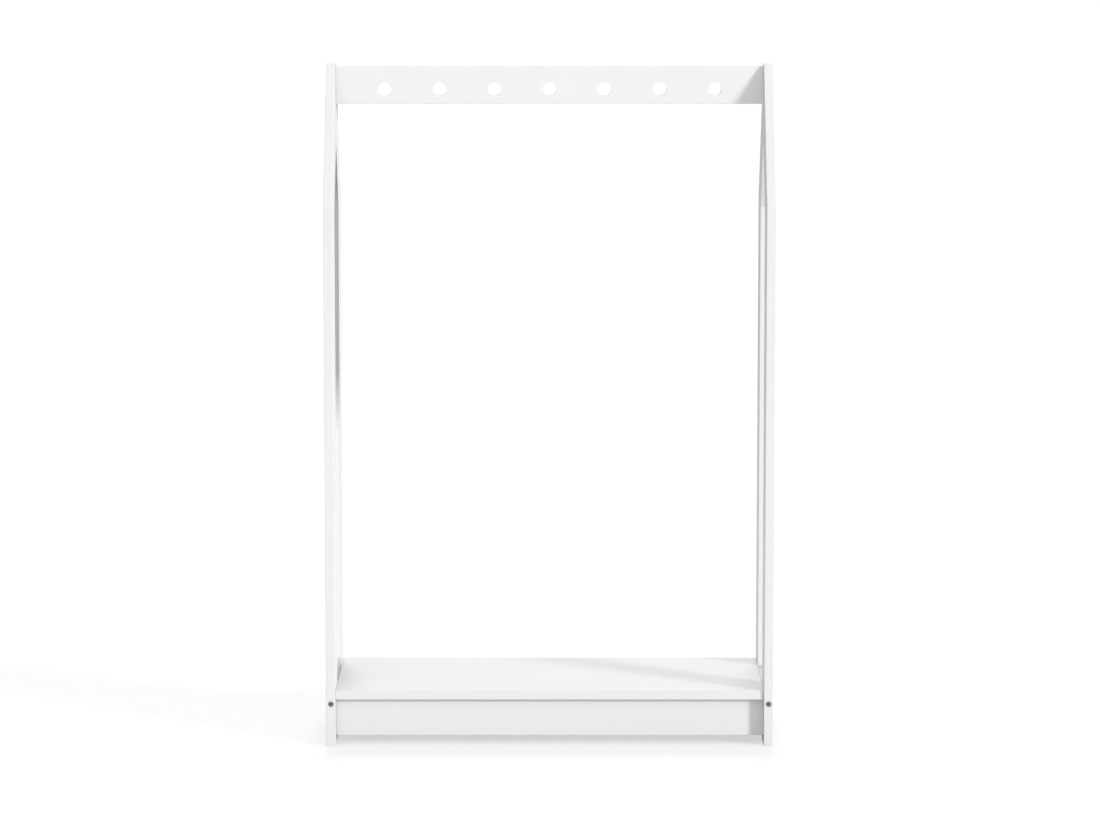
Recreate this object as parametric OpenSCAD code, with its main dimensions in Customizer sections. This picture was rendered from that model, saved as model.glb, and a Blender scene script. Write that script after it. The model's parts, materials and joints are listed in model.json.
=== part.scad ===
// Dress-up storage unit: two house-shaped side frames, a drilled hanger rail,
// a low shelf on plinths, and a mirror in the left frame.
// Millimetres. X is the width, Y the depth (front at -Y), Z up. Origin: middle of the footprint, on the floor.

/* [Overall size] */
// Clear width between the two side frames
inner_w = 700; // [560:5:900]
// Depth of the side frames, front edge to rear edge
frame_d = 300; // [260:5:420]
// Height to the flat top of the gables
frame_h = 1107; // [1000:5:1300]
// Height where the upright front and rear edges turn into the roof slope
eave_z = 884; // [780:1:900]
// Width of the flat top of each gable
apex_w = 24; // [20:1:44]

/* [Boards] */
// Thickness of the boards of the side frames
frame_t = 15; // [14:0.5:20]
// Width of the four posts
post_w = 72; // [62:1:84]
// Width of the four rafters
rafter_w = 71; // [60:1:80]

/* [Hanger rail] */
// Height of the hanger rail
rail_h = 62; // [56:1:80]
// Thickness of the hanger rail
rail_t = 15; // [14:0.5:20]
// Drop from the gable tops to the upper edge of the hanger rail
rail_drop = 4; // [1:0.5:6]
// Number of hook holes
hook_count = 7; // [3:1:9]
// Distance from the ends of the hanger rail to the centres of the outermost hook holes
hook_margin = 80; // [62:1:120]
// Diameter of the hook holes
hook_d = 22; // [16:0.5:26]
// Height of the hook holes' centres above the lower edge of the rail
hook_rise = 24.5; // [18:0.5:30]

/* [Shelf and plinths] */
// Height of the shelf's upper face
shelf_z = 92; // [88:1:120]
// Thickness of the shelf
shelf_t = 15; // [14:0.5:20]
// Distance of the shelf's front and rear edges behind those of the posts
shelf_inset = 4; // [2:0.5:12]
// Gap between each end of the shelf and the side frame
shelf_gap = 0.3; // [0.2:0.1:1.5]
// Thickness of the plinth boards
plinth_t = 15; // [14:0.5:20]
// Distance of the plinths' outer faces behind the edges of the posts
plinth_inset = 18; // [14:1:30]
// Height of the gap between the floor and the plinths and side rails
floor_gap = 15; // [8:1:20]

/* [Mirror] */
// Distance of the mirror's face behind the inner face of the frame
mirror_recess = 0.5; // [0.5:0.1:2]
// Thickness of the mirror pane
pane_t = 3; // [2:0.5:4]
// Gap round the mirror pane
pane_gap = 0.5; // [0.2:0.1:1.5]
// Thickness of the bonding strips
strip_t = 1; // [0.8:0.1:1.5]
// Width of the bonding strips
strip_w = 20; // [12:1:40]
// Distance from the sides of the mirror pane to the ends of the bonding strips
strip_margin = 10; // [4:1:30]
// Number of bonding strips
strip_count = 4; // [2:1:6]
// Thickness of the backing board
backing_t = 8; // [6:0.5:8]
// Width of the rebate that the backing board lies in
rebate_w = 10; // [8:0.5:14]
// Gap round the backing board
backing_gap = 0.5; // [0.2:0.1:1]

/* [Frame bolts] */
// Height of the frame bolts
bolt_z = 70; // [64:1:76]
// Diameter of the bolt shanks
bolt_d = 6; // [5:0.5:7]
// How far the bolts reach past the barrel nuts
bolt_past = 4; // [1:0.5:8]
// Diameter of the bolt heads
bolt_head_d = 9; // [8.5:0.5:11]
// Thickness of the bolt heads
bolt_head_t = 4; // [3:0.5:6]
// Distance of the bolt heads below the edge of the post
bolt_sink = 0.4; // [0.2:0.1:1.5]
// Distance across the flats of the bolts' hexagon sockets
bolt_key = 4; // [3:0.5:5]
// Diameter of the barrel nuts
nut_d = 10; // [9:0.5:12]
// Length of the barrel nuts
nut_l = 12; // [10:0.5:13]
// Distance from the end of a side rail to its barrel nut
nut_inset = 24; // [18:1:26]

/* [Connector screws] */
// Length of the connector screws, head included
screw_l = 50; // [44:1:60]
// Diameter of the threaded stretch
screw_d = 6; // [5:0.5:6.5]
// Diameter of the plain neck
neck_d = 7; // [6.6:0.2:8]
// Diameter of the countersunk heads
screw_head_d = 10; // [9:0.5:12]
// Depth of the countersunk heads
screw_head_t = 3; // [2:0.5:4]
// Distance of the screw heads below the outer face
screw_sink = 0.4; // [0.2:0.1:1]
// Distance across the flats of the screws' hexagon sockets
screw_key = 4; // [3:0.5:5]
// Distance between the two screws in each end of a rail or plinth
screw_pitch = 30; // [26:1:34]

/* [Cam fittings] */
// Diameter of the cams
cam_d = 15; // [12:0.5:18]
// Depth of the cams
cam_t = 11; // [9:0.5:12]
// Distance from the plinth's upper edge to the centre of the cams
cam_drop = 24; // [20:1:30]
// Diameter of the cam pins
cam_pin_d = 6; // [5:0.5:7]
// How far the cam pins reach into the cams
cam_pin_reach = 4; // [2:0.5:5]
// Depth of the cam pins in the shelf
cam_pin_bite = 10; // [8:0.5:11]
// Distance from the ends of a plinth to its outermost cams
cam_margin = 100; // [70:5:140]

/* [Dowels and small screws] */
// Diameter of the dowels
dowel_d = 6; // [5:0.5:8]
// Length of the dowels
dowel_l = 30; // [24:1:36]
// Height of the dowels between the posts and the side rails
side_dowel_z = 34; // [30:1:44]
// Depth of the shelf dowels in the shelf
shelf_dowel_bite = 10; // [8:0.5:11]
// How deep the backing board's screws bite into the lip of the rebate
tack_bite = 3; // [2:0.5:3.5]
// Diameter of the backing board's screws
tack_d = 3; // [2.5:0.5:3.5]
// Diameter of the backing board's screw heads
tack_head_d = 6; // [5:0.5:7]
// Number of screws along each long side of the backing board
tack_rows = 4; // [2:1:6]
// Radial clearance of screws, bolts, dowels and cams in their bores
bore_fit = 0.1; // [0.05:0.05:0.3]
// Clearance at the bottom of blind bores
bore_end = 0.5; // [0.3:0.1:1.5]

/* [Hidden] */
$fn = 48;
eps = 0.01;
over = 1;

// The roof slope, as an angle above the horizontal
slope = atan2(frame_h - eave_z, (frame_d - apex_w) / 2);
tan_s = tan(slope);
cos_s = cos(slope);
sin_s = sin(slope);

// The opening inside a side frame: half its width, its two upper corners and its tip
open_y = frame_d / 2 - post_w;
corner_z = eave_z + post_w * tan_s - rafter_w / cos_s;
tip_z = frame_h + apex_w / 2 * tan_s - rafter_w / cos_s;

// The front rafter runs past the tip to the rear slope, and the rear rafter ends on it
lap_l = (apex_w / 2 / cos_s + (frame_h - tip_z) / sin_s) / 2;
lap_y = lap_l * cos_s;
lap_z = tip_z + lap_l * sin_s;

// The mitre under each eave
mitre_angle = atan2(corner_z - eave_z, post_w);
mitre_l = norm([post_w, corner_z - eave_z]);

inner_x = inner_w / 2;
mid_x = inner_x + frame_t / 2;
rail_z = frame_h - rail_drop - rail_h;
shelf_low = shelf_z - shelf_t;
plinth_h = shelf_low - floor_gap;
plinth_y = frame_d / 2 - plinth_inset - plinth_t / 2;
side_rail_h = shelf_z - floor_gap;
lip_t = mirror_recess + pane_t + strip_t;
cam_z = shelf_low - cam_drop;
bolt_l = post_w - bolt_sink + nut_inset + nut_d / 2 + bolt_past;
tack_l = backing_t + tack_bite;
screw_cone_t = (screw_head_d - neck_d) / 2;
tack_head_t = (tack_head_d - tack_d) / 2;
key_depth = 2.5;
point_t = 4;
notch_w = 1.2;

white = [0.95, 0.95, 0.94];
metal = [0.66, 0.61, 0.52];
beech = [0.80, 0.66, 0.47];

// ---- placing ----

// Carries what is drawn for the right-hand side over to the given side: 1 is right, -1 is left
module on_side(side) {
    if (side > 0) children();
    else mirror([1, 0, 0]) children();
}

// Carries what is drawn for the front over to the given end: -1 is front, 1 is rear
module at_end(end) {
    if (end < 0) children();
    else mirror([0, 1, 0]) children();
}

// A plate of thickness t in the plane of a side frame, from its outline in Y and Z.
// depth is how far its inner face lies outside the frame's inner face.
module plate(outline, depth, t) {
    translate([inner_x + depth, 0, 0])
        rotate([90, 0, 90])
            linear_extrude(t) polygon(outline);
}

// A round bar in the middle of a side frame's thickness, centred on [y, z] and turned to angle
module bar_in_frame(place, angle, d, l) {
    translate([mid_x, place[0], place[1]])
        rotate([angle - 90, 0, 0])
            cylinder(d = d, h = l, center = true);
}

// A prism with a hexagon of distance key across its flats
module hexagon_bar(key, l) {
    rotate([0, 0, 30]) cylinder(d = key / cos(30), h = l, $fn = 6);
}

// The outline of the frame's opening, grown by r on every side
function opening_outline(r) =
    let (side = open_y + r, corner = corner_z + r * (1 / cos_s - tan_s))
    [[-side, shelf_z - r], [side, shelf_z - r], [side, corner], [0, tip_z + r / cos_s], [-side, corner]];

// ---- fasteners, drawn along +Z from the head ----

// Connector screw: countersunk head, neck, thread and point
module connector_screw() {
    difference() {
        union() {
            cylinder(d = screw_head_d, h = screw_head_t - screw_cone_t + eps);
            translate([0, 0, screw_head_t - screw_cone_t])
                cylinder(d1 = screw_head_d, d2 = neck_d, h = screw_cone_t);
            translate([0, 0, screw_head_t - eps]) cylinder(d = neck_d, h = frame_t - screw_head_t);
            translate([0, 0, frame_t - 2 * eps]) cylinder(d = screw_d, h = screw_l - point_t - frame_t);
            translate([0, 0, screw_l - point_t - 3 * eps]) cylinder(d1 = screw_d, d2 = 1, h = point_t);
        }
        translate([0, 0, -over]) hexagon_bar(screw_key, key_depth + over);
    }
}

// The bore for a connector screw: countersink, neck bore through the frame, then the thread's bore
module connector_bore() {
    translate([0, 0, -over]) cylinder(d = screw_head_d + 2 * bore_fit, h = over + screw_head_t - screw_cone_t);
    translate([0, 0, screw_head_t - screw_cone_t - eps])
        cylinder(d1 = screw_head_d + 2 * bore_fit, d2 = neck_d + 2 * bore_fit, h = screw_cone_t + eps);
    cylinder(d = neck_d + 2 * bore_fit, h = frame_t + 2 * bore_end);
    cylinder(d = screw_d + 2 * bore_fit, h = screw_l + bore_end);
}

// Frame bolt: round head with a hexagon socket, and a plain shank
module frame_bolt() {
    difference() {
        union() {
            cylinder(d = bolt_head_d, h = bolt_head_t);
            cylinder(d = bolt_d, h = bolt_l);
        }
        translate([0, 0, -over]) hexagon_bar(bolt_key, key_depth + over);
    }
}

// ---- where the fasteners sit ----

// The connector screws in one end of a rail or plinth, whose middle is at y and z
module at_screws(y, z) {
    for (step = [-1, 1])
        translate([inner_x + frame_t - screw_sink, y, z + step * screw_pitch / 2])
            rotate([0, -90, 0]) children();
}

// Middle of the plinth screws: the upper one passes under the frame bolt
plinth_screw_z = floor_gap + (screw_pitch + screw_head_d) / 2 + 2;

module at_plinth_screws() {
    at_screws(-plinth_y, plinth_screw_z) children();
}

module at_rail_screws() {
    at_screws(0, rail_z + rail_h / 2) children();
}

module at_frame_bolt() {
    translate([mid_x, -frame_d / 2 + bolt_sink, bolt_z])
        rotate([-90, 0, 0]) children();
}

module at_barrel_nut() {
    translate([mid_x - nut_l / 2, -open_y + nut_inset, bolt_z])
        rotate([0, 90, 0]) children();
}

// The two dowels across the front eave's mitre
module eave_dowel_pair(d, l) {
    for (share = [0.3, 0.7])
        bar_in_frame([-frame_d / 2, eave_z] + share * mitre_l * [cos(mitre_angle), sin(mitre_angle)],
                     mitre_angle + 90, d, l);
}

// The two dowels across the joint between the rafters
module apex_dowel_pair(d, l) {
    for (share = [0.25, 0.7])
        bar_in_frame([0, tip_z] + share * lap_l * [cos_s, sin_s], slope + 90, d, l);
}

// The dowel between the front post and the side rail
module side_dowel(d, l) {
    bar_in_frame([-open_y, side_dowel_z], 0, d, l);
}

// Places along a plinth, seen from above: the cams, and the dowels halfway between them
cam_pitch = inner_x - cam_margin;
cam_x = [-cam_pitch, 0, cam_pitch];
shelf_dowel_x = [-cam_pitch / 2, cam_pitch / 2];

module shelf_dowel_row(d, grow) {
    for (x = shelf_dowel_x)
        translate([x, -plinth_y, shelf_low + shelf_dowel_bite - dowel_l - grow])
            cylinder(d = d, h = dowel_l + 2 * grow);
}

// low is the height above the cams' centres at which the row begins
module cam_pin_row(d, low, bite) {
    for (x = cam_x)
        translate([x, -plinth_y, cam_z + low])
            cylinder(d = d, h = cam_drop - low + bite);
}

// The cams' bores run in from the inner face of the plinth
module cam_row(d, t) {
    for (x = cam_x)
        translate([x, -plinth_y + plinth_t / 2, cam_z])
            rotate([90, 0, 0]) cylinder(d = d, h = t);
}

// The backing board's screws: along both posts, in the middle of each rafter and along the side rail
tack_side = open_y + rebate_w / 2;
tack_low = shelf_z + 40;
tack_high = corner_z - 30;
tack_step = (tack_high - tack_low) / (tack_rows - 1);
tack_places = concat(
    [for (end = [-1, 1], row = [0 : tack_rows - 1]) [end * tack_side, tack_low + row * tack_step]],
    [for (end = [-1, 1]) [end * open_y / 2, corner_z + open_y / 2 * tan_s + rebate_w / 2 / cos_s]],
    [for (end = [-1, 1]) [end * open_y / 2, shelf_z - rebate_w / 2]]
);

module at_tacks() {
    for (place = tack_places)
        translate([inner_x + lip_t + backing_t, place[0], place[1]])
            rotate([0, -90, 0]) children();
}

module tack(grow) {
    cylinder(d = tack_d + 2 * grow, h = tack_l + grow);
    cylinder(d1 = tack_head_d + 2 * grow, d2 = tack_d + 2 * grow, h = tack_head_t);
}

// The rebate in the outer face of the left frame's boards, with the screws' pilot bores
module rebate() {
    plate(opening_outline(rebate_w), lip_t, frame_t);
    at_tacks() tack(bore_fit);
}

// ---- boards of a side frame, drawn for the right-hand side ----

post_outline = [
    [-frame_d / 2, 0], [-open_y, 0], [-open_y, corner_z], [-frame_d / 2, eave_z]
];

front_rafter_outline = [
    [-frame_d / 2, eave_z], [-open_y, corner_z], [0, tip_z], [lap_y, lap_z],
    [apex_w / 2, frame_h], [-apex_w / 2, frame_h]
];

rear_rafter_outline = [
    [frame_d / 2, eave_z], [lap_y, lap_z], [0, tip_z], [open_y, corner_z]
];

// end is -1 for the front post and 1 for the rear post
module post(side, end) {
    color(white) on_side(side) difference() {
        at_end(end) difference() {
            plate(post_outline, 0, frame_t);
            at_frame_bolt() {
                translate([0, 0, -over]) cylinder(d = bolt_head_d + 4 * bore_fit, h = bolt_head_t + over);
                cylinder(d = bolt_d + 2 * bore_fit, h = bolt_l + bore_end);
            }
            side_dowel(dowel_d + 2 * bore_fit, dowel_l + 2 * bore_end);
            eave_dowel_pair(dowel_d + 2 * bore_fit, dowel_l + 2 * bore_end);
            at_plinth_screws() connector_bore();
        }
        if (side < 0) rebate();
    }
}

module front_rafter(side) {
    color(white) on_side(side) difference() {
        plate(front_rafter_outline, 0, frame_t);
        eave_dowel_pair(dowel_d + 2 * bore_fit, dowel_l + 2 * bore_end);
        apex_dowel_pair(dowel_d + 2 * bore_fit, dowel_l + 2 * bore_end);
        at_rail_screws() connector_bore();
        if (side < 0) rebate();
    }
}

module rear_rafter(side) {
    color(white) on_side(side) difference() {
        plate(rear_rafter_outline, 0, frame_t);
        at_end(1) eave_dowel_pair(dowel_d + 2 * bore_fit, dowel_l + 2 * bore_end);
        apex_dowel_pair(dowel_d + 2 * bore_fit, dowel_l + 2 * bore_end);
        if (side < 0) rebate();
    }
}

module side_rail(side) {
    color(white) on_side(side) difference() {
        translate([inner_x, -open_y, floor_gap]) cube([frame_t, 2 * open_y, side_rail_h]);
        for (end = [-1, 1])
            at_end(end) {
                at_frame_bolt() cylinder(d = bolt_d + 2 * bore_fit, h = bolt_l + bore_end);
                side_dowel(dowel_d + 2 * bore_fit, dowel_l + 2 * bore_end);
                at_barrel_nut()
                    translate([0, 0, -frame_t]) cylinder(d = nut_d + 2 * bore_fit, h = frame_t + nut_l + bore_end);
            }
        if (side < 0) rebate();
    }
}

// ---- what runs between the side frames ----

module hanger_rail() {
    hook_pitch = (inner_w - 2 * hook_margin) / (hook_count - 1);
    color(white) difference() {
        translate([-inner_x, -rail_t / 2, rail_z]) cube([inner_w, rail_t, rail_h]);
        for (i = [0 : hook_count - 1])
            translate([-inner_x + hook_margin + i * hook_pitch, rail_t / 2 + over, rail_z + hook_rise])
                rotate([90, 0, 0]) cylinder(d = hook_d, h = rail_t + 2 * over);
        for (side = [-1, 1])
            on_side(side) at_rail_screws() connector_bore();
    }
}

module shelf() {
    length = inner_w - 2 * shelf_gap;
    depth = frame_d - 2 * shelf_inset;
    color(white) difference() {
        translate([-length / 2, -depth / 2, shelf_low]) cube([length, depth, shelf_t]);
        for (end = [-1, 1])
            at_end(end) {
                cam_pin_row(cam_pin_d + 2 * bore_fit, 0, cam_pin_bite + bore_end);
                shelf_dowel_row(dowel_d + 2 * bore_fit, bore_end);
            }
    }
}

module plinth(end) {
    color(white) at_end(end) difference() {
        translate([-inner_x, -plinth_y - plinth_t / 2, floor_gap]) cube([inner_w, plinth_t, plinth_h]);
        for (side = [-1, 1])
            on_side(side) at_plinth_screws() connector_bore();
        cam_pin_row(cam_pin_d + 2 * bore_fit, 0, over);
        translate([0, over, 0]) cam_row(cam_d + 2 * bore_fit, cam_t + bore_end + over);
        shelf_dowel_row(dowel_d + 2 * bore_fit, bore_end);
    }
}

// ---- mirror in the left side frame ----

module mirror_pane() {
    color([0.80, 0.84, 0.86]) on_side(-1)
        plate(opening_outline(-pane_gap), mirror_recess, pane_t);
}

module mirror_backing() {
    color(white) on_side(-1) difference() {
        plate(opening_outline(rebate_w - backing_gap), lip_t, backing_t);
        at_tacks() tack(bore_fit);
    }
}

// Bonding strips between the pane and its backing board, evenly spread from the shelf to the eaves
module mirror_strips() {
    step = (corner_z - shelf_z) / strip_count;
    half = open_y - pane_gap - strip_margin;
    color([0.9, 0.9, 0.88]) on_side(-1)
        for (i = [0 : strip_count - 1])
            translate([inner_x + mirror_recess + pane_t, -half, shelf_z + (i + 0.5) * step - strip_w / 2])
                cube([strip_t, 2 * half, strip_w]);
}

module backing_screws() {
    color(metal) on_side(-1) at_tacks() difference() {
        tack(0);
        for (turn = [0, 90])
            rotate([0, 0, turn])
                translate([-tack_d / 2, -notch_w / 4, -over]) cube([tack_d, notch_w / 2, over + notch_w]);
    }
}

// ---- fasteners ----

module frame_bolts() {
    color(metal) for (side = [-1, 1], end = [-1, 1])
        on_side(side) at_end(end) at_frame_bolt() frame_bolt();
}

module barrel_nuts() {
    color(metal) for (side = [-1, 1], end = [-1, 1])
        on_side(side) at_end(end) difference() {
            at_barrel_nut() cylinder(d = nut_d, h = nut_l);
            at_frame_bolt() cylinder(d = bolt_d + 2 * bore_fit, h = 2 * bolt_l);
        }
}

module rail_screws() {
    color(metal) for (side = [-1, 1])
        on_side(side) at_rail_screws() connector_screw();
}

module plinth_screws() {
    color(metal) for (side = [-1, 1], end = [-1, 1])
        on_side(side) at_end(end) at_plinth_screws() connector_screw();
}

module cam_pins() {
    color(metal) for (end = [-1, 1])
        at_end(end) cam_pin_row(cam_pin_d, cam_d / 2 - cam_pin_reach, cam_pin_bite);
}

// Each cam has the bore that its pin enters, and a notch for the screwdriver
module cams() {
    color(metal) for (end = [-1, 1])
        at_end(end) difference() {
            cam_row(cam_d, cam_t);
            cam_pin_row(cam_pin_d + 2 * bore_fit, cam_d / 2 - cam_pin_reach - bore_end, over);
            for (x = cam_x)
                translate([x - cam_d / 4, -plinth_y + plinth_t / 2 - notch_w, cam_z - notch_w / 2])
                    cube([cam_d / 2, notch_w + over, notch_w]);
        }
}

module eave_dowels() {
    color(beech) for (side = [-1, 1], end = [-1, 1])
        on_side(side) at_end(end) eave_dowel_pair(dowel_d, dowel_l);
}

module apex_dowels() {
    color(beech) for (side = [-1, 1])
        on_side(side) apex_dowel_pair(dowel_d, dowel_l);
}

module side_rail_dowels() {
    color(beech) for (side = [-1, 1], end = [-1, 1])
        on_side(side) at_end(end) side_dowel(dowel_d, dowel_l);
}

module shelf_dowels() {
    color(beech) for (end = [-1, 1])
        at_end(end) shelf_dowel_row(dowel_d, 0);
}

post(-1, -1);  // left_front_post
post(-1, 1);  // left_rear_post
front_rafter(-1);  // left_front_rafter
rear_rafter(-1);  // left_rear_rafter
side_rail(-1);  // left_side_rail
post(1, -1);  // right_front_post
post(1, 1);  // right_rear_post
front_rafter(1);  // right_front_rafter
rear_rafter(1);  // right_rear_rafter
side_rail(1);  // right_side_rail
hanger_rail();
shelf();
plinth(-1);  // front_plinth
plinth(1);  // rear_plinth
mirror_pane();
mirror_backing();
mirror_strips();
backing_screws();
frame_bolts();
barrel_nuts();
rail_screws();
plinth_screws();
cam_pins();
cams();
eave_dowels();
apex_dowels();
side_rail_dowels();
shelf_dowels();
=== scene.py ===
import json
import math

import bpy
import numpy as np
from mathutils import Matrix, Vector
from mathutils.geometry import tessellate_polygon


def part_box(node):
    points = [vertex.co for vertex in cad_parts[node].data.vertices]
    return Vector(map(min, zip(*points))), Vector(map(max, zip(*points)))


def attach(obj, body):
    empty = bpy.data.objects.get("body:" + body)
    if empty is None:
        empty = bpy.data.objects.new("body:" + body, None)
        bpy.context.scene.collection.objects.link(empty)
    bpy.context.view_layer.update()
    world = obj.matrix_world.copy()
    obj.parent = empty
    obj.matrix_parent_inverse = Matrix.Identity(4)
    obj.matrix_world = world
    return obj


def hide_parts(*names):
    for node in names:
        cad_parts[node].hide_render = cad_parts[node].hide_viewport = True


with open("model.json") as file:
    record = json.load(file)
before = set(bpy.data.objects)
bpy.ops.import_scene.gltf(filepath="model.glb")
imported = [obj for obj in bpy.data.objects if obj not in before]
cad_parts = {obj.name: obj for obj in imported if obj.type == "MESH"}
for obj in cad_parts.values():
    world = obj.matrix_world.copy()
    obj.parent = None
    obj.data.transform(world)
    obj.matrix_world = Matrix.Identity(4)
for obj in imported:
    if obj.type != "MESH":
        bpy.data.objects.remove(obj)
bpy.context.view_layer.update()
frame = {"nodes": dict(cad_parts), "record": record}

scene = bpy.context.scene
mm = 0.001
axisX, axisY, axisZ = np.eye(3)

print("Camera")

# Where the photo was taken from, in millimetres and degrees. focal and pictureWidth are in pixels.
photoCamera = dict(aside=0.5, height=1496, ahead=7363, tiltDown=7.461, focal=4493, pictureWidth=1100,
                   sensor=36, nearest=0.05, farthest=200)


def makeCamera(v):
    data = bpy.data.cameras.new("camera")
    data.sensor_width = v["sensor"]
    data.lens = v["focal"] / v["pictureWidth"] * v["sensor"]
    data.clip_start = v["nearest"]
    data.clip_end = v["farthest"]
    camera = bpy.data.objects.new("camera", data)
    camera.location = (v["aside"] * mm, -v["ahead"] * mm, v["height"] * mm)
    camera.rotation_euler = (math.radians(90 - v["tiltDown"]), 0, 0)
    scene.collection.objects.link(camera)
    scene.camera = camera


makeCamera(photoCamera)

print("Materials")


# A number, colour or vector on its way through the nodes: sums and products of it add Math nodes
class Value:
    def __init__(self, shader, socket):
        self.shader, self.socket = shader, socket

    def math(self, operation, *values):
        return self.shader.node("Math", dict(enumerate(values)), operation=operation)

    def __add__(self, other):
        return self.math("ADD", self, other)

    def __radd__(self, other):
        return self.math("ADD", other, self)

    def __sub__(self, other):
        return self.math("SUBTRACT", self, other)

    def __rsub__(self, other):
        return self.math("SUBTRACT", other, self)

    def __mul__(self, other):
        return self.math("MULTIPLY", self, other)

    def __rmul__(self, other):
        return self.math("MULTIPLY", other, self)

    def __truediv__(self, other):
        return self.math("DIVIDE", self, other)

    def __lt__(self, other):
        return self.math("LESS_THAN", self, other)

    def __abs__(self):
        return self.math("ABSOLUTE", self)

    def least(self, other):
        return self.math("MINIMUM", self, other)

    def most(self, other):
        return self.math("MAXIMUM", self, other)

    # 0 below low and 1 above high, with a straight ramp between
    def ramp(self, low, high):
        return self.shader.node("MapRange", {"Value": self, "From Min": low, "From Max": high})


# The nodes of a material or of the world
class Shader:
    def __init__(self, owner, end="OutputMaterial"):
        owner.use_nodes = True
        self.owner, self.nodes, self.links = owner, owner.node_tree.nodes, owner.node_tree.links
        self.nodes.clear()
        self.end = self.nodes.new("ShaderNode" + end)

    # Makes a node: its settings are set first, then each socket, by name or number, gets its value or link.
    # It gives back one of the node's outputs, as a Value.
    def node(self, kind, sockets=None, out=0, **settings):
        made = self.nodes.new("ShaderNode" + kind)
        for name, setting in settings.items():
            setattr(made, name, setting)
        for name, value in (sockets or {}).items():
            socket = self.find(made.inputs, name)
            if isinstance(value, Value):
                self.links.new(value.socket, socket)
            else:
                socket.default_value = (*value, 1) if socket.type == "RGBA" else value
        return Value(self, self.find(made.outputs, out))

    def find(self, sockets, name):
        if isinstance(name, int):
            return sockets[name]
        return next(s for s in sockets if name in (s.identifier, s.name))

    # Every output of the node that a value comes from, by name
    def outputs(self, value):
        return {s.name: Value(self, s) for s in value.socket.node.outputs}

    def place(self):
        return self.node("TexCoord", out="Object")

    def axes(self, vector):
        return self.outputs(self.node("SeparateXYZ", {0: vector}))

    # Noise with about one bump in each size, in metres; detail is how many finer octaves it has
    def noise(self, size, detail, twist=0.0):
        sockets = {"Vector": self.place(), "Scale": 1 / size, "Detail": detail, "Distortion": twist}
        return self.node("TexNoise", sockets, "Fac")

    def mix(self, share, first, second):
        sockets = {"Factor_Float": share, "A_Color": first, "B_Color": second}
        return self.node("Mix", sockets, "Result_Color", data_type="RGBA")

    # A height in metres becomes a normal
    def bump(self, height):
        return self.node("Bump", {"Height": height, "Strength": 1.0, "Distance": 1.0}, "Normal")

    # 1 for what the camera sees, straight, mirrored or through glass, and 0 for the light between things
    def seen(self):
        rays = self.outputs(self.node("LightPath"))
        shown = rays["Is Camera Ray"].most(rays["Is Glossy Ray"]).most(rays["Is Transmission Ray"])
        return shown * (rays["Diffuse Depth"] < 0.5)

    def show(self, surface):
        self.links.new(surface.socket, self.end.inputs["Surface"])
        return self.owner

    def finish(self, sockets):
        return self.show(self.node("BsdfPrincipled", sockets))


def newShader(name):
    return Shader(bpy.data.materials.new(name))


paint = dict(colour=(0.868, 0.859, 0.862), shade=(0.838, 0.827, 0.829), roughness=0.5, gloss=0.3, ior=1.5,
             cloudSize=140 * mm, cloudRange=(0.3, 0.7), cloudShade=0.35, cloudRough=0.05,
             cutShade=0.45, cutRough=0.1, fibreSize=0.7 * mm, fibreHeight=0.006 * mm,
             peelSize=2.6 * mm, peelHeight=0.009 * mm, peelRough=0.04,
             waveSize=38 * mm, waveHeight=0.012 * mm)


# Satin lacquer sprayed on fibreboard: orange peel, slow waves, and narrow sides that drank it and are
# duller. The axis is the one that the board's thickness lies along.
def paintedBoard(axis, v=paint):
    s = newShader("whiteBoard" + axis)
    normal = s.axes(s.node("NewGeometry", out="Normal"))
    cutSide = 1 - abs(normal[axis])
    cloud = s.noise(v["cloudSize"], 3).ramp(*v["cloudRange"])
    fibres = s.noise(v["fibreSize"], 1)
    peel = s.noise(v["peelSize"], 2)
    wave = s.noise(v["waveSize"], 1)
    shade = v["cloudShade"] * cloud + v["cutShade"] * cutSide
    roughness = v["roughness"] + v["cloudRough"] * cloud + v["cutRough"] * cutSide + v["peelRough"] * peel
    height = peel * v["peelHeight"] + wave * v["waveHeight"] + fibres * cutSide * v["fibreHeight"]
    return s.finish({"Base Color": s.mix(shade, v["colour"], v["shade"]), "Roughness": roughness,
                     "Normal": s.bump(height), "IOR": v["ior"], "Specular IOR Level": v["gloss"]})


plating = dict(grainSize=0.25 * mm, grainHeight=0.006 * mm, grainRough=0.08,
               stainSize=2.2 * mm, stainRange=(0.42, 0.66), stainShade=0.6, stainRough=0.14)
zinc = dict(colour=(0.60, 0.585, 0.55), dark=(0.46, 0.45, 0.42), roughness=0.3)
bronze = dict(colour=(0.38, 0.335, 0.265), dark=(0.2, 0.17, 0.13), roughness=0.34)


# Plated steel: grain of the plating, and tarnish that is duller and darker
def platedSteel(name, metal, v=plating):
    s = newShader(name)
    grain = s.noise(v["grainSize"], 3)
    stain = s.noise(v["stainSize"], 4).ramp(*v["stainRange"])
    colour = s.mix(stain * v["stainShade"], metal["colour"], metal["dark"])
    roughness = metal["roughness"] + v["stainRough"] * stain + v["grainRough"] * grain
    return s.finish({"Base Color": colour, "Metallic": 1.0, "Roughness": roughness,
                     "Normal": s.bump(grain * v["grainHeight"])})


beech = dict(deep=(0.62, 0.43, 0.25), pale=(0.74, 0.56, 0.37), fleck=(0.34, 0.2, 0.1), roughness=0.62,
             bandSize=1.6 * mm, bandRange=(0.3, 0.7), bandTwist=0.6, bandHeight=0.03 * mm, bandSheen=0.1,
             fleckSize=0.5 * mm, fleckRange=(0.6, 0.72), fleckShade=0.5)


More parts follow.
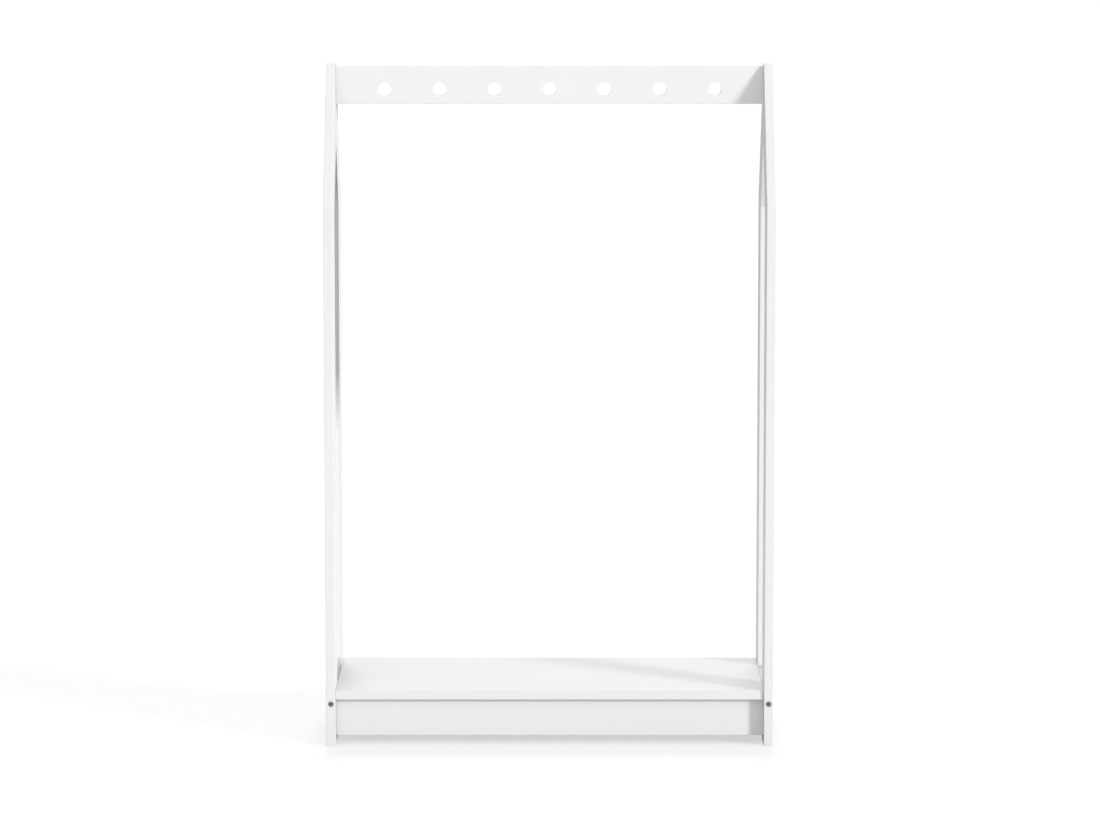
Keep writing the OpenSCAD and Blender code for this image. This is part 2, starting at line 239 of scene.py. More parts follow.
# Beech: wavy pale bands with short dark flecks
def beechWood(name, v=beech):
    s = newShader(name)
    bands = s.noise(v["bandSize"], 3, v["bandTwist"]).ramp(*v["bandRange"])
    flecks = s.noise(v["fleckSize"], 2).ramp(*v["fleckRange"])
    colour = s.mix(bands, v["deep"], v["pale"])
    return s.finish({"Base Color": s.mix(flecks * v["fleckShade"], colour, v["fleck"]),
                     "Roughness": v["roughness"] - v["bandSheen"] * bands,
                     "Normal": s.bump(bands * v["bandHeight"])})


# The darker pore colour is painted shade in the pores' hollows; skin is the foam's own colour
foam = dict(pore=(0.6, 0.6, 0.57), skin=(0.8, 0.8, 0.77), roughness=0.85,
            poreSize=0.8 * mm, poreRange=(0.1, 0.5), poreHeight=0.08 * mm)


# Closed-cell foam: fine round pores in an off-white skin, with painted shade darkening the pores' hollows
def closedCellFoam(name, v=foam):
    s = newShader(name)
    pores = s.node("TexVoronoi", {"Vector": s.place(), "Scale": 1 / v["poreSize"]}, "Distance")
    # Painted shade: the pores' hollows, where the bump sinks, take the darker pore colour
    colour = s.mix(pores.ramp(*v["poreRange"]), v["pore"], v["skin"])
    return s.finish({"Base Color": colour, "Roughness": v["roughness"],
                     "Normal": s.bump(pores * v["poreHeight"])})


whiteX, whiteY, whiteZ = (paintedBoard(axis) for axis in "XYZ")
zincSteel = platedSteel("zincSteel", zinc)
bronzeSteel = platedSteel("bronzeSteel", bronze)
paleBeech = beechWood("beech")
bondingFoam = closedCellFoam("bondingFoam")

print("Mesh tools")

weld = 0.0002 * mm  # corners closer together than this become one


# Angles all the way round, and a quarter of the way for round edges
def fullTurn(steps):
    return np.arange(steps) * 2 * math.pi / steps


def quarterTurn(steps):
    return np.linspace(0, math.pi / 2, steps + 1)


# The directions round an axis: cos(turn) * first + sin(turn) * second
def spokes(steps, first, second):
    turn = fullTurn(steps)[:, None]
    return np.cos(turn) * first + np.sin(turn) * second


def circle(centre, radius, steps):
    return np.array(centre) + radius * spokes(steps, *np.eye(2))


# A shell gathers triangles with a normal at each corner, and welds them into one closed mesh
class Shell:
    def __init__(self):
        self.points, self.normals = [], []

    # points is (triangles, 3 corners, xyz), and so are the normals, which point out of the solid
    def add(self, points, normals):
        self.points.append(points)
        self.normals.append(np.broadcast_to(normals, points.shape))

    # points[i, j] is a grid, and each of its cells becomes two triangles. Flat cells take their own normal.
    def grid(self, points, normals, closed=False, flat=False):
        normals = np.broadcast_to(normals, points.shape)
        if closed:
            points, normals = (np.concatenate([x, x[:, :1]], axis=1) for x in (points, normals))
        cells = []
        for field in (points, normals):
            a, b, c, d = field[:-1, :-1], field[:-1, 1:], field[1:, 1:], field[1:, :-1]
            cells.append(np.stack([np.stack([a, b, c], -2), np.stack([a, c, d], -2)]).reshape(-1, 3, 3))
        points, normals = cells
        if flat:
            own = np.cross(points[:, 1] - points[:, 0], points[:, 2] - points[:, 0])
            own *= np.sign(np.sum(own * normals.mean(1), axis=1))[:, None]
            own /= np.maximum(np.linalg.norm(own, axis=1), 1e-20)[:, None]
            normals = np.repeat(own[:, None], 3, axis=1)
        self.add(points, normals)

    # A flat face with holes: loops are of 2D points, in the plane origin + a * first + b * second.
    # It is cut into triangles in millimetres.
    def fill(self, loops, origin, first, second, outward):
        order = tessellate_polygon([[Vector((*p, 0)) / mm for p in loop] for loop in loops])
        corners = np.concatenate(loops)[np.array(order)]
        self.add(origin + corners[..., :1] * first + corners[..., 1:] * second, outward)

    # A profile of (radius, height) pairs turned about an axis:
    # point = middle + radius * stretch(turn) * direction(turn) + height * axis.
    # slopes are the profile's own normals, as (away from the axis, along the axis).
    def turned(self, profile, slopes, middle, first, second, axis, steps, stretch=1.0, flat=False):
        profile, slopes = np.array(profile, float), np.array(slopes, float)
        around = spokes(steps, first, second)
        radius = (profile[:, :1] * np.broadcast_to(stretch, (1, steps)))[..., None]
        points = middle + radius * around + profile[:, 1, None, None] * axis
        normals = slopes[:, :1, None] * around + slopes[:, 1:, None] * axis
        self.grid(points, normals, closed=True, flat=flat)

    # Corners that lie together become one vertex, and each triangle is turned to the side of its normals
    def mesh(self, name):
        points, normals = np.concatenate(self.points), np.concatenate(self.normals)
        facing = np.cross(points[:, 1] - points[:, 0], points[:, 2] - points[:, 0])
        wrong = np.sum(facing * normals.mean(1), axis=1) < 0
        points[wrong], normals[wrong] = points[wrong, ::-1], normals[wrong, ::-1]
        keys = np.round(points.reshape(-1, 3) / weld).astype(np.int64)
        _, where, index = np.unique(keys, axis=0, return_index=True, return_inverse=True)
        index = index.reshape(-1, 3)
        whole = (index != np.roll(index, 1, axis=1)).all(1)
        mesh = bpy.data.meshes.new(name)
        mesh.from_pydata(points.reshape(-1, 3)[where].tolist(), [], index[whole].tolist())
        mesh.polygons.foreach_set("use_smooth", np.ones(len(mesh.polygons), bool))
        mesh.update()
        mesh.normals_split_custom_set(normals[whole].reshape(-1, 3).tolist())
        return mesh


def newObject(name, shell, material):
    mesh = shell.mesh(name)
    mesh.materials.append(material)
    made = bpy.data.objects.new(name, mesh)
    scene.collection.objects.link(made)
    return made


# A finished piece that stands for a CAD node
def makePiece(name, node, shell, material):
    piece = newObject(name, shell, material)
    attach(piece, "root")
    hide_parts(node)


print("Boards")

boardLook = dict(edge=0.8 * mm, edgeSteps=3, holeEdge=0.3 * mm, holeSteps=48)


# A board's rim as columns, one after another round the outline. A column has its inset point, the way out
# from it and its normal. A soft corner swings from one side's normal to the next, and a sharp one is a
# mitre with both normals. each is the number of columns at a corner, and wide is where the columns stand.
def rimColumns(outline, edge, soft):
    outline = np.array(outline, float)
    along = np.roll(outline, -1, 0) - outline
    along /= np.linalg.norm(along, axis=1)[:, None]
    out = np.stack([along[:, 1], -along[:, 0]], 1)
    before = np.roll(out, 1, 0)
    level = np.sum(before * out, 1)
    mitre = (before + out) / (1 + level)[:, None]
    inset = outline - edge * mitre
    if soft:
        turn = np.arctan2(before[:, 0] * out[:, 1] - before[:, 1] * out[:, 0], level)[:, None]
        start = np.arctan2(before[:, 1], before[:, 0])[:, None]
        angle = start + turn * np.linspace(0, 1, boardLook["edgeSteps"] + 1)
        normal = np.stack([np.cos(angle), np.sin(angle)], -1)
        way = normal
    else:
        normal = np.stack([before, out], 1)
        way = np.repeat(mitre[:, None], 2, axis=1)
    each = way.shape[1]
    core = np.repeat(inset, each, axis=0)
    way, normal = way.reshape(-1, 2), normal.reshape(-1, 2)
    return dict(inset=inset, each=each, core=core, way=way, normal=normal, wide=core + edge * way)


# A board has flat faces and round edges: point = inset + edge * cos(t) * way out, and
# height = face - edge + edge * sin(t). One with a rebate has the lower outline up to the step, the upper
# one above it, and between them the ledge, which is the flat floor of the rebate.
class Board:
    def __init__(self, outline, base, first, second, up, thickness, soft=True, edge=None,
                 lower=None, step=None, ledge=None):
        self.base, self.first, self.second, self.up = np.array(base, float), first, second, up
        self.thickness, self.edge = thickness, edge or boardLook["edge"]
        self.upper = rimColumns(outline, self.edge, soft)
        self.lower = rimColumns(lower, self.edge, soft) if lower else self.upper
        self.step, self.ledge = step, ledge
        self.holes = {"top": [], "bottom": []}
        self.sideHoles = []
        self.shell = Shell()

    # A hole in the top or bottom face; without a depth it goes right through
    def hole(self, face, centre, radius, depth=None):
        self.holes[face].append((np.array(centre, float), radius, depth))

    # A hole in the narrow side that runs from one corner of the outline to the next
    def sideHole(self, corner, centre, radius, depth):
        self.sideHoles.append((corner, np.array(centre, float), radius, depth))

    def way(self, flat, height=0.0):
        flat, height = np.asarray(flat), np.asarray(height)[..., None]
        return flat[..., :1] * self.first + flat[..., 1:] * self.second + height * self.up

    def place(self, flat, height=0.0):
        return self.base + self.way(flat, height)

    def make(self):
        low, high = self.edge, self.thickness - self.edge
        self.roundEdge(self.lower, 0.0, -1)
        self.roundEdge(self.upper, self.thickness, 1)
        if self.ledge:
            self.walls(self.lower, low, self.step)
            self.walls(self.upper, self.step, high)
            ledge = [np.array(self.ledge)]
            self.shell.fill(ledge, self.place((0, 0), self.step), self.first, self.second, self.up)
        else:
            self.walls(self.upper, low, high)
        for hole in self.sideHoles:
            self.holedSide(*hole)
        self.face("bottom", self.lower["inset"])
        self.face("top", self.upper["inset"])
        return self.shell

    # A quarter round from the narrow sides to a face: lean is 1 at the top and -1 at the bottom
    def roundEdge(self, rim, face, lean):
        t = quarterTurn(boardLook["edgeSteps"])[:, None]
        flat = rim["core"] + self.edge * np.cos(t)[..., None] * rim["way"]
        height = np.broadcast_to(face - lean * self.edge * (1 - np.sin(t)), flat.shape[:2])
        slope = np.broadcast_to(lean * np.sin(t), flat.shape[:2])
        normals = self.way(np.cos(t)[..., None] * rim["normal"], slope)
        self.shell.grid(self.place(flat, height), normals, closed=True)

    # The column at which the straight side from a corner to the next one starts
    def sideColumn(self, rim, corner):
        return (corner + 1) * rim["each"] - 1

    # The narrow sides between two heights: a quad from each column to the next, but none where a hole is
    def walls(self, rim, low, high):
        plain = np.ones(len(rim["wide"]), bool)
        plain[[self.sideColumn(rim, corner) for corner, *_ in self.sideHoles]] = False
        start, end = (np.roll(rim["wide"], turn, 0)[plain] for turn in (0, -1))
        startNormal, endNormal = (self.way(np.roll(rim["normal"], turn, 0)[plain]) for turn in (0, -1))
        ways = (start, low), (end, low), (end, high), (start, high)
        corners = np.stack([self.place(flat, height) for flat, height in ways], 1)
        normals = np.stack([startNormal, endNormal, endNormal, startNormal], 1)
        for order in ([0, 1, 2], [0, 2, 3]):
            self.shell.add(corners[:, order], normals[:, order])

    # A narrow side with a round hole at half the thickness
    def holedSide(self, corner, centre, radius, depth):
        rim, column = self.lower, self.sideColumn(self.lower, corner)
        start, end = rim["wide"][column], rim["wide"][(column + 1) % len(rim["wide"])]
        length = np.linalg.norm(end - start)
        along = (end - start) / length
        at = np.array([np.dot(centre - start, along), self.thickness / 2])
        heights = [self.edge, self.thickness - self.edge]
        if self.ledge:
            heights.insert(1, self.step)
        corners = [(length, h) for h in heights] + [(0, h) for h in heights[::-1]]
        mouth = circle(at, radius + boardLook["holeEdge"], boardLook["holeSteps"])
        first, origin, outward = self.way(along), self.place(start), self.way(rim["normal"][column])
        self.shell.fill([np.array(corners), mouth], origin, first, self.up, outward)
        self.bore(origin + at[0] * first + at[1] * self.up, first, self.up, outward, radius, depth)

    # A bore from its eased mouth down to a flat end, or to the other face's mouth where it goes through
    def bore(self, middle, first, second, outward, radius, depth):
        steps, ease, t = boardLook["holeSteps"], boardLook["holeEdge"], quarterTurn(boardLook["edgeSteps"])
        profile = [(radius + ease * (1 - math.sin(a)), -ease * (1 - math.cos(a))) for a in t]
        slopes = [(-math.sin(a), math.cos(a)) for a in t]
        if depth is None:
            profile += [(r, -self.thickness - h) for r, h in profile[::-1]]
            slopes += [(o, -u) for o, u in slopes[::-1]]
        else:
            profile.append((radius, -depth))
            slopes.append((-1, 0))
            end = [(radius, -depth), (0, -depth)]
            self.shell.turned(end, [(0, 1), (0, 1)], middle, first, second, outward, steps)
        self.shell.turned(profile, slopes, middle, first, second, outward, steps)

    # A face with its holes. A hole right through is bored from the top, and leaves its mouth in the bottom.
    def face(self, side, inset):
        height, outward = (self.thickness, self.up) if side == "top" else (0.0, -self.up)
        loops = [inset]
        through = [h for h in self.holes["top"] if h[2] is None] if side == "bottom" else []
        for centre, radius, depth in self.holes[side] + through:
            loops.append(circle(centre, radius + boardLook["holeEdge"], boardLook["holeSteps"]))
            if side == "top" or depth is not None:
                self.bore(self.place(centre, height), self.first, self.second, outward, radius, depth)
        self.shell.fill(loops, self.place((0, 0), height), self.first, self.second, outward)


# The gable's own measures, in its plane of Y and Z, from the CAD boards. rise is its slope, over run.
def gableMeasures():
    names = ("front_post", "front_rafter", "rear_rafter")
    post, frontRafter, rearRafter = (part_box("right_" + name) for name in names)
    g = dict(half=-post[0].y, open=-post[1].y, eave=post[1].z, corner=rearRafter[0].z,
             lapY=frontRafter[1].y, lapZ=rearRafter[1].z, top=frontRafter[1].z,
             inner=post[0].x, thickness=post[1].x - post[0].x)
    g["rise"] = (g["lapZ"] - g["corner"]) / (g["lapY"] + g["open"])
    g["slant"] = math.hypot(1, g["rise"])
    g["tip"] = g["corner"] + g["open"] * g["rise"]
    g["topHalf"] = g["half"] - (g["top"] - g["eave"]) / g["rise"]
    return g


gable = gableMeasures()
backingLook = dict(edge=0.5 * mm, gap=0.5 * mm)  # its own edge, and the gap to the rebate's walls


# The rebate's outline: the opening, grown to take the backing board
def rebateMeasures(v):
    low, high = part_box("mirror_backing")
    side = high.y + v["gap"]
    width = side - gable["open"]
    return dict(side=side, width=width, foot=low.z - v["gap"], step=abs(high.x) - gable["inner"],
                tip=gable["tip"] + width * gable["slant"],
                corner=gable["corner"] + width * (gable["slant"] - gable["rise"]))


rebate = rebateMeasures(backingLook)


# The same points on the rear half, still counter-clockwise
def mirrored(points):
    return [(-y, z) for y, z in points[::-1]]


frameBoards = ("front_post", "rear_post", "front_rafter", "rear_rafter", "side_rail")


# Each frame board's outline, with the front at -Y. With a rebate, the upper outlines are cut back for it,
# and the lower ones and the ledges also have the points that it makes along their sides.
def frameOutlines(rebated):
    g, r = gable, rebate
    railFoot, railTop = (corner.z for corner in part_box("right_side_rail"))
    foot, inFoot = (-g["half"], 0), (-g["open"], 0)
    eave, corner, tip = (-g["half"], g["eave"]), (-g["open"], g["corner"]), (0, g["tip"])
    lap, topRear, topFront = (g["lapY"], g["lapZ"]), (g["topHalf"], g["top"]), (-g["topHalf"], g["top"])
    step, inStep, cut = (-g["open"], r["foot"]), (-r["side"], r["foot"]), (-r["side"], r["corner"])
    peak, kink = (0, r["tip"]), ((r["tip"] - g["tip"]) / 2 / g["rise"], (r["tip"] + g["tip"]) / 2)
    railEnds = [(-g["open"], railFoot), (g["open"], railFoot)]
    (rearEave,), (rearCorner,), (rearCut,), (rearStep,) = (mirrored([p]) for p in (eave, corner, cut, step))
    if not rebated:
        upper = dict(
            front_post=[foot, inFoot, corner, eave],
            front_rafter=[eave, corner, tip, lap, topRear, topFront],
            rear_rafter=[rearEave, lap, tip, rearCorner],
            side_rail=[*railEnds, (g["open"], railTop), (-g["open"], railTop)])
        shapes = dict(outline=upper)
    else:
        upper = dict(
            front_post=[foot, inFoot, step, inStep, cut, eave],
            front_rafter=[eave, cut, peak, kink, lap, topRear, topFront],
            rear_rafter=[rearEave, lap, kink, rearCut],
            side_rail=[*railEnds, rearStep, step])
        lower = dict(
            front_post=[foot, inFoot, step, corner, cut, eave],
            front_rafter=[eave, cut, corner, tip, kink, lap, topRear, topFront],
            rear_rafter=[rearEave, lap, kink, tip, rearCorner, rearCut],
            side_rail=[*railEnds, rearStep, (g["open"], railTop), (-g["open"], railTop), step])
        ledge = dict(
            front_post=[step, corner, cut, inStep],
            front_rafter=[cut, corner, tip, kink, peak],
            rear_rafter=[rearCorner, rearCut, kink, tip],
            side_rail=[step, rearStep, (g["open"], railTop), (-g["open"], railTop)])
        shapes = dict(outline=upper, lower=lower, ledge=ledge)
    for outlines in shapes.values():
        outlines["rear_post"] = mirrored(outlines["front_post"])
    boards = {name: {kind: outlines[name] for kind, outlines in shapes.items()} for name in frameBoards}
    return {name: dict(shape, step=r["step"] if rebated else None) for name, shape in boards.items()}


# In a head's socket, pointed is the floor's slope, mouth is the chamfer's radius over the key's, and lean
# is the chamfer's slope
socket = dict(steps=48, easeSteps=4, key=4 * mm, deep=2.5 * mm, pointed=0.9, chamfer=0.3 * mm, mouth=1.272,
              lean=0.7)
bolt = dict(head=4.5 * mm, headDepth=4 * mm, sink=0.4 * mm, ease=0.8 * mm, shank=3 * mm, length=104.6 * mm,
            point=1 * mm)
screw = dict(head=5 * mm, headDepth=3 * mm, sink=0.4 * mm, ease=0.25 * mm,
             neck=3.5 * mm, neckDepth=15 * mm, thread=3 * mm, length=50 * mm, point=4 * mm, tip=0.5 * mm)
bores = dict(gap=0.1 * mm, nutDepth=14 * mm)


# Where the fasteners sit, and their bores, from the CAD boxes: a box runs to the outermost heads' rims
def headMeasures(v):
    nodes = ("frame_bolts", "barrel_nuts", "rail_screws", "plinth_screws")
    bolts, nuts, rail, plinth = (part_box(name) for name in nodes)
    boltHead, nut, screwHead = (bolts[1].z - bolts[0].z) / 2, (nuts[1].z - nuts[0].z) / 2, rail[1].y
    return dict(boltZ=(bolts[0].z + bolts[1].z) / 2, nutY=nuts[1].y - nut, plinthY=plinth[1].y - screwHead,
                railScrews=(rail[0].z + screwHead, rail[1].z - screwHead),
                plinthScrews=(plinth[0].z + screwHead, plinth[1].z - screwHead),
                boltHole=boltHead + 2 * v["gap"], screwHole=screwHead + v["gap"], nutHole=nut + v["gap"])


heads = headMeasures(bores)


# One house-shaped side: side is -1 for the left and 1 for the right
def makeFrame(side):
    name = "right" if side > 0 else "left"
    boltDepth, screwDepth = (v["sink"] + v["headDepth"] for v in (bolt, screw))
    for part, shape in frameOutlines(rebated=side < 0).items():
        board = Board(base=(side * gable["inner"], 0, 0), first=axisY, second=axisZ, up=side * axisX,
                      thickness=gable["thickness"], soft=False, **shape)
        if part.endswith("post"):
            end = -1 if part == "front_post" else 1
            for z in heads["plinthScrews"]:
                board.hole("top", (end * heads["plinthY"], z), heads["screwHole"], screwDepth)
            board.sideHole(-1, (end * gable["half"], heads["boltZ"]), heads["boltHole"], boltDepth)
        if part == "front_rafter":
            for z in heads["railScrews"]:
                board.hole("top", (0, z), heads["screwHole"], screwDepth)
        if part == "side_rail":
            for y in (-heads["nutY"], heads["nutY"]):
                board.hole("bottom", (y, heads["boltZ"]), heads["nutHole"], bores["nutDepth"])
        words = "".join(word.capitalize() for word in part.split("_"))
        makePiece(name + words, f"{name}_{part}", board.make(), whiteX)


makeFrame(-1)
makeFrame(1)


# A board that fills its CAD node's box, lying across one axis: "y" for upright, "z" for flat.
# An upright one has its top face towards the middle of the object.
def boxBoard(node, across, edge=None):
    low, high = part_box(node)
    if across == "z":
        outline = [(low.x, low.y), (high.x, low.y), (high.x, high.y), (low.x, high.y)]
        return Board(outline, (0, 0, low.z), axisX, axisY, axisZ, high.z - low.z, edge=edge)
    outline = [(low.x, low.z), (high.x, low.z), (high.x, high.z), (low.x, high.z)]
    outer, inward = (low.y, axisY) if low.y + high.y < 0 else (high.y, -axisY)
    return Board(outline, (0, outer, 0), axisX, axisZ, inward, high.y - low.y, edge=edge)


# The hanger rail has the record's hook holes
def makeRail():
    board = boxBoard("hanger_rail", "y")
    for mount in frame["record"]["mounts"]:
        if mount["name"].startswith("hook_hole"):
            x, y, z = mount["pos_m"]
            board.hole("top", (x, z), mount["dims"]["r_mm"] * mm)
    makePiece("hangerRail", "hanger_rail", board.make(), whiteY)


makeRail()

shelf = dict(edge=0.25 * mm)
makePiece("shelfBoard", "shelf", boxBoard("shelf", "z", shelf["edge"]).make(), whiteZ)

cams = dict(margin=100 * mm, drop=24 * mm, radius=7.6 * mm, depth=11.5 * mm)


# A plinth has a round pocket for each of its three cams in its inner face
def makePlinth(name, node, v):
    low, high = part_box(node)
    board = boxBoard(node, "y")
    for x in (low.x + v["margin"], 0, high.x - v["margin"]):
        board.hole("top", (x, high.z - v["drop"]), v["radius"], v["depth"])
    makePiece(name, node, board.make(), whiteY)


makePlinth("frontPlinth", "front_plinth", cams)
makePlinth("rearPlinth", "rear_plinth", cams)

print("Mirror")

mirror = dict(silver=(0.80, 0.82, 0.825), silverRough=0.015,
              border=(0.5, 0.52, 0.52), borderInner=1.44 * mm, borderOuter=0.96 * mm,
              edge=0.6 * mm, edgeGlass=(0.42, 0.52, 0.48), edgeRough=0.14, edgeMetallic=0.25,
              faceRange=(0.7, 0.95), wipeSize=45 * mm, wipeTwist=1.5, wipeRange=(0.45, 0.8), wipeRough=0.02)


# Silvered glass: a clean reflection with faint wiping marks, a dull border and green-grey edges
def silveredGlass(name, v):
    s = newShader(name)
    place = s.axes(s.place())
    normal = s.axes(s.node("NewGeometry", out="Normal"))
    low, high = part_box("mirror_pane")
    toSide = high.y - abs(place["Y"])
    toRoof = (high.z - place["Z"] - abs(place["Y"]) * gable["rise"]) / gable["slant"]
    toBorder = toSide.least(toRoof).least(place["Z"] - low.z)
    face = abs(normal["X"]).ramp(*v["faceRange"])
    border = 1 - toBorder.ramp(v["borderOuter"], v["borderInner"])
    wiping = s.noise(v["wipeSize"], 4, v["wipeTwist"]).ramp(*v["wipeRange"])
    silver = s.mix(border, v["silver"], v["border"])
    roughness = v["edgeRough"] - (v["edgeRough"] - v["silverRough"]) * face + v["wipeRough"] * wiping
    return s.finish({"Base Color": s.mix(face, v["edgeGlass"], silver), "Roughness": roughness,
                     "Metallic": v["edgeMetallic"] + (1 - v["edgeMetallic"]) * face})


# A house-shaped plate that fills its CAD node's box, with its top face outwards, to the left
def housePlate(node, edge):
    low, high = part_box(node)
    roof = high.z - high.y * gable["rise"]
    outline = [(low.y, low.z), (high.y, low.z), (high.y, roof), (0, high.z), (low.y, roof)]
    return Board(outline, (high.x, 0, 0), axisY, axisZ, -axisX, high.x - low.x, edge=edge)


tacks = dict(rows=4, overShelf=40 * mm, underCorner=30 * mm, radius=3.1 * mm, depth=1.2 * mm)


# Where the backing board's screws sit, in the middle of the rebate's ledge:
# rows along both posts, then one in each rafter and two in the side rail
def tackPlaces(v):
    g, middle, shelfTop = gable, rebate["width"] / 2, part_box("shelf")[1].z
    roof = g["corner"] + g["open"] / 2 * g["rise"] + middle * g["slant"]
    rows = np.linspace(shelfTop + v["overShelf"], g["corner"] - v["underCorner"], v["rows"])
    places = [(g["open"] + middle, z) for z in rows]
    places += [(g["open"] / 2, z) for z in (roof, shelfTop - middle)]
    return [(end * y, z) for end in (-1, 1) for y, z in places]


# The pane, and behind it the backing board with a countersink for each of its screws
def makeMirror(v):
    pane = housePlate("mirror_pane", v["edge"])
    makePiece("mirrorPane", "mirror_pane", pane.make(), silveredGlass("silveredGlass", v))
    backing = housePlate("mirror_backing", backingLook["edge"])
    for place in tackPlaces(tacks):
        backing.hole("top", place, tacks["radius"], tacks["depth"])
    makePiece("mirrorBacking", "mirror_backing", backing.make(), whiteX)


makeMirror(mirror)

print("Fasteners")


# How far a hexagon reaches past its inner circle, all the way round
def hexagonStretch(steps):
    return 1 / np.cos((fullTurn(steps) + math.pi / 6) % (math.pi / 3) - math.pi / 6)


# A fastener with a hexagon socket, along -axis from its head's face at middle: the socket's pointed floor,
# its six flat sides, the chamfer at its mouth, the head's face with a round rim, and then the body.
# shape is a list of (radius, depth) from the head's rim to the point.
def socketFastener(shell, middle, axis, ease, shape, v=socket):
    first, second = axisZ, np.cross(axis, axisZ)
    key, hexagon = v["key"] / 2, hexagonStretch(v["steps"])
    args = (middle, first, second, axis, v["steps"])
    point = np.array([-v["pointed"], 1.0]) / math.hypot(v["pointed"], 1.0)
    end = [(0, -v["deep"] - key * v["pointed"]), (key, -v["deep"])]
    shell.turned(end, [point, point], *args, stretch=hexagon)
    sides = [(key, -v["deep"]), (key, -v["chamfer"])]
    shell.turned(sides, [(-1, 0), (-1, 0)], *args, stretch=hexagon, flat=True)
    around = spokes(v["steps"], first, second)
    inner = middle - v["chamfer"] * axis + (key * hexagon)[:, None] * around
    outer = middle + key * v["mouth"] * around
    slope = axis - v["lean"] * around
    shell.grid(np.stack([inner, outer]), slope / np.linalg.norm(slope, axis=1)[:, None], closed=True)
    rim, t = shape[0][0], quarterTurn(v["easeSteps"])
    profile = [(rim - ease * (1 - math.sin(a)), -ease * (1 - math.cos(a))) for a in t]
    slopes = [(math.sin(a), math.cos(a)) for a in t]
    shell.turned([(key * v["mouth"], 0)] + profile, [(0, 1)] + slopes, *args)
    path = [(rim, -ease)] + [(radius, -depth) for radius, depth in shape]
    for (r0, h0), (r1, h1) in zip(path, path[1:]):
        lean = np.array([h0 - h1, r1 - r0]) / math.hypot(h0 - h1, r1 - r0)
        shell.turned([(r0, h0), (r1, h1)], [lean, lean], *args)


# Frame bolts through the middle of the posts' narrow sides, with their heads a little below the surface
def makeBolts(v):
    shell = Shell()
    x = gable["inner"] + gable["thickness"] / 2
    shape = [(v["head"], v["headDepth"]), (v["shank"], v["headDepth"]),
             (v["shank"], v["length"] - v["point"]), (v["shank"] - v["point"], v["length"]),
             (0, v["length"])]
    for side in (-1, 1):
        for end in (-1, 1):
            middle = np.array([side * x, end * (gable["half"] - v["sink"]), heads["boltZ"]])
            socketFastener(shell, middle, end * axisY, v["ease"], shape)
    makePiece("frameBolts", "frame_bolts", shell, bronzeSteel)


# Connector screws through both side frames, at places in the gable's plane
def makeScrews(name, node, places, v=screw):
    shell = Shell()
    cone = v["head"] - v["neck"]
    shape = [(v["head"], v["headDepth"] - cone), (v["neck"], v["headDepth"]), (v["neck"], v["neckDepth"]),
             (v["thread"], v["neckDepth"]), (v["thread"], v["length"] - v["point"]),
             (v["tip"], v["length"]), (0, v["length"])]
    x = gable["inner"] + gable["thickness"] - v["sink"]
    for side in (-1, 1):
        for y, z in places:
            socketFastener(shell, np.array([side * x, y, z]), side * axisX, v["ease"], shape)
    makePiece(name, node, shell, zincSteel)


makeBolts(bolt)
makeScrews("railScrews", "rail_screws", [(0, z) for z in heads["railScrews"]])
plinthRows = (-heads["plinthY"], heads["plinthY"])
makeScrews("plinthScrews", "plinth_screws", [(y, z) for y in plinthRows for z in heads["plinthScrews"]])

# The CAD nodes that keep their own shape
cadLooks = {
    zincSteel: ("backing_screws", "barrel_nuts", "cam_pins", "cams"),
    paleBeech: ("eave_dowels", "apex_dowels", "side_rail_dowels", "shelf_dowels"),
    bondingFoam: ("mirror_strips",),
}
for material, names in cadLooks.items():
    for name in names:
        for slot in frame["nodes"][name].material_slots:
            slot.material = material

print("Floor, world and lamps")


# One flat face that isn't part of the object, in the plane origin + a * first + b * second
def makeStage(name, material, corners, origin, first, second, outward):
    shell = Shell()
    shell.fill([np.array(corners, float)], np.array(origin, float), first, second, outward)
    made = newObject(name, shell, material)
    return made


floor = dict(half=60, bounce=0.7, shade=0.45, glow=0.6)


# The floor keeps the object's shadow, and is white to the camera and in the mirror
def makeFloor(v):
    s = newShader("floorWhite")
    soft = s.node("BsdfDiffuse", {"Color": (v["bounce"],) * 3})
    shown = s.node("BsdfDiffuse", {"Color": (v["shade"],) * 3})
    glow = s.node("Emission", {"Color": (1, 1, 1), "Strength": v["glow"]})
    bright = s.node("AddShader", {0: shown, 1: glow})
    s.show(s.node("MixShader", {0: s.seen(), 1: soft, 2: bright}))
    half = v["half"]
    corners = [(-half, -half), (half, -half), (half, half), (-half, half)]
    makeStage("floor", s.owner, corners, (0, 0, 0), axisX, axisY, axisZ)


studio = dict(soft=0.455, seen=1.0)


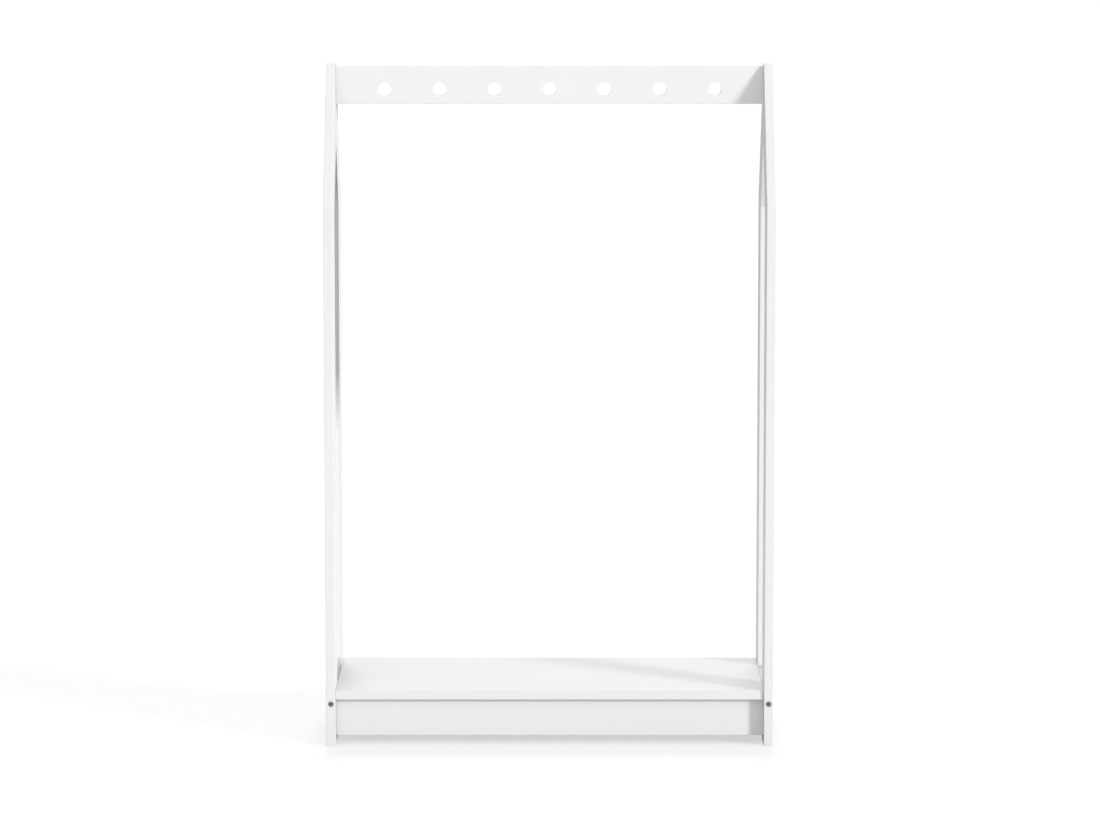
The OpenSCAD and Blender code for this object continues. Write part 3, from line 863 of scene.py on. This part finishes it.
# The world is white behind the object, and a softer white where it lights the object
def makeWorld(v):
    scene.world = bpy.data.worlds.new("studio")
    s = Shader(scene.world, "OutputWorld")
    soft = s.node("Background", {"Color": (1, 1, 1), "Strength": v["soft"]})
    white = s.node("Background", {"Color": (1, 1, 1), "Strength": v["seen"]})
    s.show(s.node("MixShader", {0: s.seen(), 1: soft, 2: white}))


# Each lamp is a sun: travel is the way its light goes, and angle is how wide it is in the sky, in degrees.
# The key lamp has no bounces and isn't mirrored, so that boards next to it don't glow.
lamps = dict(
    key=dict(travel=(-1.35, 1.0, -0.4), strength=2.12, angle=12, bounces=0, mirrored=False),
    back=dict(travel=(0.0, -1.0, -1.0), strength=1.3, angle=22, bounces=4, mirrored=True),
    front=dict(travel=(0.0, 1.0, -0.65), strength=0.53, angle=60, bounces=4, mirrored=True))


def makeLamp(name, v):
    lamp = bpy.data.lights.new(name, "SUN")
    lamp.energy = v["strength"]
    lamp.angle = math.radians(v["angle"])
    lamp.cycles.max_bounces = v["bounces"]
    holder = bpy.data.objects.new(name, lamp)
    holder.rotation_mode = "QUATERNION"
    holder.rotation_quaternion = Vector(v["travel"]).to_track_quat("-Z", "Y")
    holder.visible_glossy = v["mirrored"]
    scene.collection.objects.link(holder)


card = dict(away=3.6, half=4.0, high=4.0, foot=0.16, step=(0.56, 0.62),
            footGrey=(1.0, 1.0, 1.0), lowGrey=(0.47, 0.455, 0.45), highGrey=(0.31, 0.295, 0.285))


# The card stands behind the object, and only shiny surfaces see it: the mirror is grey above a pale foot
def makeCard(v):
    s = newShader("reflectionCard")
    height = s.axes(s.place())["Z"]
    grey = s.mix(height.ramp(*v["step"]), v["lowGrey"], v["highGrey"])
    shade = s.mix(height.ramp(0.0, v["foot"]), v["footGrey"], grey)
    s.show(s.node("Emission", {"Color": shade, "Strength": 1.0}))
    half, high = v["half"], v["high"]
    corners = [(-half, 0), (half, 0), (half, high), (-half, high)]
    made = makeStage("reflectionCard", s.owner, corners, (0, v["away"], 0), axisX, axisZ, -axisY)
    for ray in ("camera", "diffuse", "transmission", "volume_scatter", "shadow"):
        setattr(made, "visible_" + ray, False)


makeFloor(floor)
makeWorld(studio)
for name, lamp in lamps.items():
    makeLamp(name, lamp)
makeCard(card)
scene.view_settings.view_transform = "Standard"
